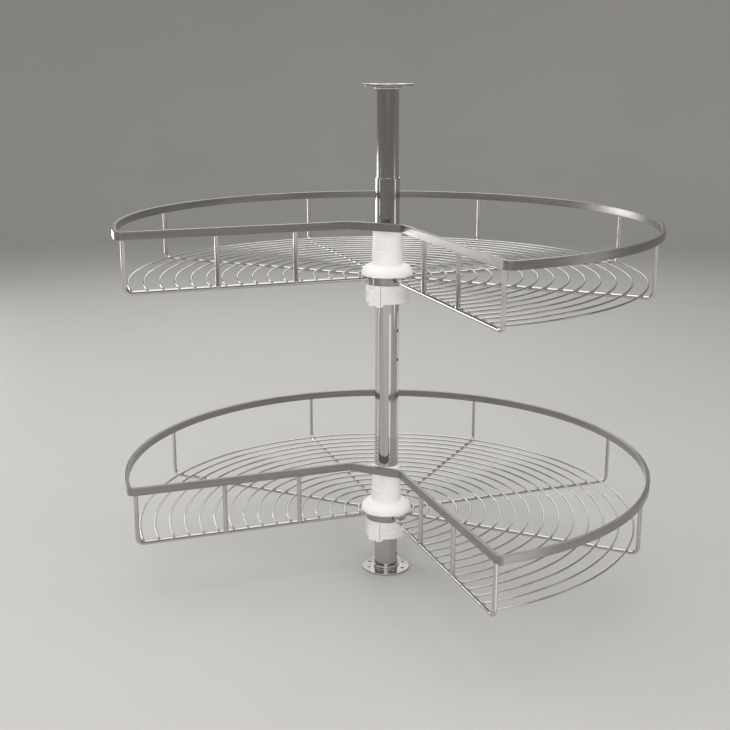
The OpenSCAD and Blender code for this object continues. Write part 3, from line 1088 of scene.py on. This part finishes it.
class CAROUSEL_OT_clamps(bpy.types.Operator):
    """Build the clamp ring, its screw and the glide washer under each hub"""

    bl_idname = "carousel.clamps"
    bl_label = "Clamp Rings"

    def execute(self, context):
        props, finish = context.scene.carousel_hub, context.scene.carousel_finish
        white = plastic("Clamp ring plastic", finish.clamp, 0.40)
        natural = plastic("Washer plastic", finish.washer, 0.35)
        bore, washer_edge = high("main_tube", 0) + WASHER_GAP, 0.25 * MM
        for basket in BASKETS:
            node = f"{basket}_support_ring"
            piece = rounded_copy(
                node, f"{basket}_clamp_ring", props.clamp_edge, 3, self.slot_test(props)
            )
            dress(piece, [node], white, True)
            node = f"{basket}_clamp_screw"
            piece = rounded_copy(node, f"{basket}_clamp_socket_screw", 0.3 * MM, 2)
            dress(piece, [node], blackened(finish), True)
            node = f"{basket}_glide_washer"
            bm = round_wall(node, high(node, 0) - bore, washer_edge, washer_edge, 96, 35)
            dress(to_object(bm, f"{basket}_washer"), [node], natural, True)
        return {"FINISHED"}

    def slot_test(self, props):
        """A test of whether an edge runs along the slot, one side of which is its bearing."""
        turned = Matrix.Rotation(-props.slot_bearing, 3, "Z")
        slack = 0.05 * MM

        def along_slot(edge):
            ends = [turned @ v.co for v in edge.verts]
            return all(p.x > 0 and -slack < p.y < props.slot + slack for p in ends)

        return along_slot


# ---- the studio ----


def set_up(name, data, place, direction):
    """Puts a lamp or a camera in its place, looking along a direction."""
    obj = bpy.data.objects.new(name, data)
    obj.location = place
    obj.rotation_mode = "QUATERNION"
    obj.rotation_quaternion = direction.to_track_quat("-Z", "Y")
    bpy.context.scene.collection.objects.link(obj)
    return obj


def softbox(name, place, aim, size, power):
    """A soft rectangular lamp that the camera doesn't see."""
    lamp = bpy.data.lights.new(name, "AREA")
    lamp.shape, lamp.size, lamp.size_y = "RECTANGLE", size[0], size[1]
    lamp.energy = power
    obj = set_up(name, lamp, place, Vector(aim) - Vector(place))
    obj.visible_camera = False
    return obj


def floor_material(colour):
    """Matt pale floor paint with a faint unevenness."""
    material, tree, shader, place = blank_material("Studio floor")
    skin = use_group(tree, "Moulded Skin", [
        ("Vector", place), ("Mottle Scale", 1.2), ("Roughness", 0.55),
    ])
    feed(tree, shader, [
        ("Base Color", blend(tree, skin["Mottle"], shade(colour), shade(colour, 0.97))),
        ("Roughness", skin["Roughness"]), ("Specular IOR Level", 0.2),
    ])
    return material


class CAROUSEL_OT_studio(bpy.types.Operator):
    """Set up the floor, the backdrop, the lamps and the camera"""

    bl_idname = "carousel.studio"
    bl_label = "Studio"

    def execute(self, context):
        scene, props = context.scene, context.scene.carousel_studio
        self.floor(props)
        softbox("Top lamp", (-0.1, 0.35, 2.7), (0, 0.1, 0.4), (3.6, 3.2), props.top)
        softbox("Back lamp", (0.85, 2.5, 1.25), (0, 0, 0.2), (1.8, 0.9), props.back)
        front_left, front_right = 0.52, 0.48  # how the two lamps in front share their power
        for name, place, power in (
            ("Left lamp", (-1.9, 1.7, 1.5), props.side),
            ("Front lamp", (-2.0, -2.3, 1.35), props.front * front_left),
            ("Right lamp", (0.55, -3.0, 1.35), props.front * front_right),
        ):
            softbox(name, place, (0, 0, 0.4), (1.6, 1.3), power).visible_glossy = False
        # Cards that only the metal shows; each faces the post at its own height
        top_aim = 0.95
        for name, place, size, radiance in (
            ("Left card", (-1.2, 2.45, 0.24), (1.3, 0.40), 6.0),
            ("Left strip", (-1.77, 0.35, 0.26), (0.22, 0.44), 1.2),
            ("Right strip", (1.47, -1.03, 0.26), (0.42, 0.44), 1.2),
            ("Front card", (-0.95, -2.4, 1.35), (1.4, 1.0), 1.1),
            ("Low front strip", (0.07, -0.50, 0.17), (0.15, 0.3), 0.55),
            ("Low left strip", (-0.464, 0.187, 0.17), (0.075, 0.3), 0.6),
            ("Low right strip", (0.48, 0.14, 0.17), (0.17, 0.3), 0.55),
        ):
            power = props.cards * radiance * math.pi * size[0] * size[1]
            card = softbox(name, place, (0, 0, min(place[2], top_aim)), size, power)
            card.visible_diffuse = False
        world = bpy.data.worlds.new("Studio")
        world.use_nodes = True
        feed(world.node_tree, world.node_tree.nodes["Background"], [
            ("Color", (1.0, 0.985, 0.96, 1.0)), ("Strength", props.fill),
        ])
        scene.world = world
        camera = bpy.data.cameras.new("Camera")
        camera.sensor_width, camera.lens = 36.0, props.lens
        camera.clip_start, camera.clip_end = 0.05, 60.0
        scene.camera = set_up("Camera", camera, props.camera, Vector(props.aim))
        scene.view_settings.view_transform = "Standard"
        return {"FINISHED"}

    def floor(self, props):
        """A round floor that sweeps up into a wall all the way round."""
        flat, sweep, wall, margin = 3.8, 1.6, 3.2, 0.05
        bm = bmesh.new()
        loop = ring(bm, flat - margin, Matrix(), 128)
        bmesh.ops.holes_fill(bm, edges=loop)
        ladder(bm, loop, (flat - margin, 0), [
            (flat, 0),
            *quarter(flat, sweep, sweep, -90, 0, 16),
            (flat + sweep, sweep + wall),
        ])
        bmesh.ops.recalc_face_normals(bm, faces=bm.faces)
        bmesh.ops.reverse_faces(bm, faces=bm.faces)
        for face in bm.faces:
            face.smooth = True
        obj = to_object(bm, "studio_floor")
        obj.data.materials.append(floor_material(props.floor))


class CAROUSEL_PT_panel(bpy.types.Panel):
    """Lists the carousel's pieces in the sidebar"""

    bl_idname = "CAROUSEL_PT_panel"
    bl_label = "Corner Carousel"
    bl_space_type = "VIEW_3D"
    bl_region_type = "UI"
    bl_category = "Carousel"

    def draw(self, context):
        for operator in OPERATORS:
            self.layout.operator(operator.bl_idname)
        for name in SETTINGS:
            box = self.layout.box()
            group = getattr(context.scene, name)
            for key in group.bl_rna.properties.keys():
                if key not in ("rna_type", "name"):
                    box.prop(group, key)


OPERATORS = (
    CAROUSEL_OT_flanges, CAROUSEL_OT_tubes, CAROUSEL_OT_set_screws, CAROUSEL_OT_rim_bands,
    CAROUSEL_OT_wires, CAROUSEL_OT_floor_arcs, CAROUSEL_OT_hubs, CAROUSEL_OT_weld_rings,
    CAROUSEL_OT_clamps, CAROUSEL_OT_studio,
)
SETTINGS = {
    "carousel_post": CarouselPost,
    "carousel_basket": CarouselBasket,
    "carousel_hub": CarouselHub,
    "carousel_finish": CarouselFinish,
    "carousel_studio": CarouselStudio,
}


def register():
    for group in SETTINGS.values():
        bpy.utils.register_class(group)
    for cls in (*OPERATORS, CAROUSEL_PT_panel):
        bpy.utils.register_class(cls)
    for name, group in SETTINGS.items():
        setattr(bpy.types.Scene, name, PointerProperty(type=group))


def unregister():
    for name in SETTINGS:
        delattr(bpy.types.Scene, name)
    for cls in (CAROUSEL_PT_panel, *reversed(OPERATORS), *reversed(list(SETTINGS.values()))):
        bpy.utils.unregister_class(cls)


def main():
    register()
    for operator in OPERATORS:
        family, name = operator.bl_idname.split(".")
        getattr(getattr(bpy.ops, family), name)()
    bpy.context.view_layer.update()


if __name__ == "__main__":
    main()
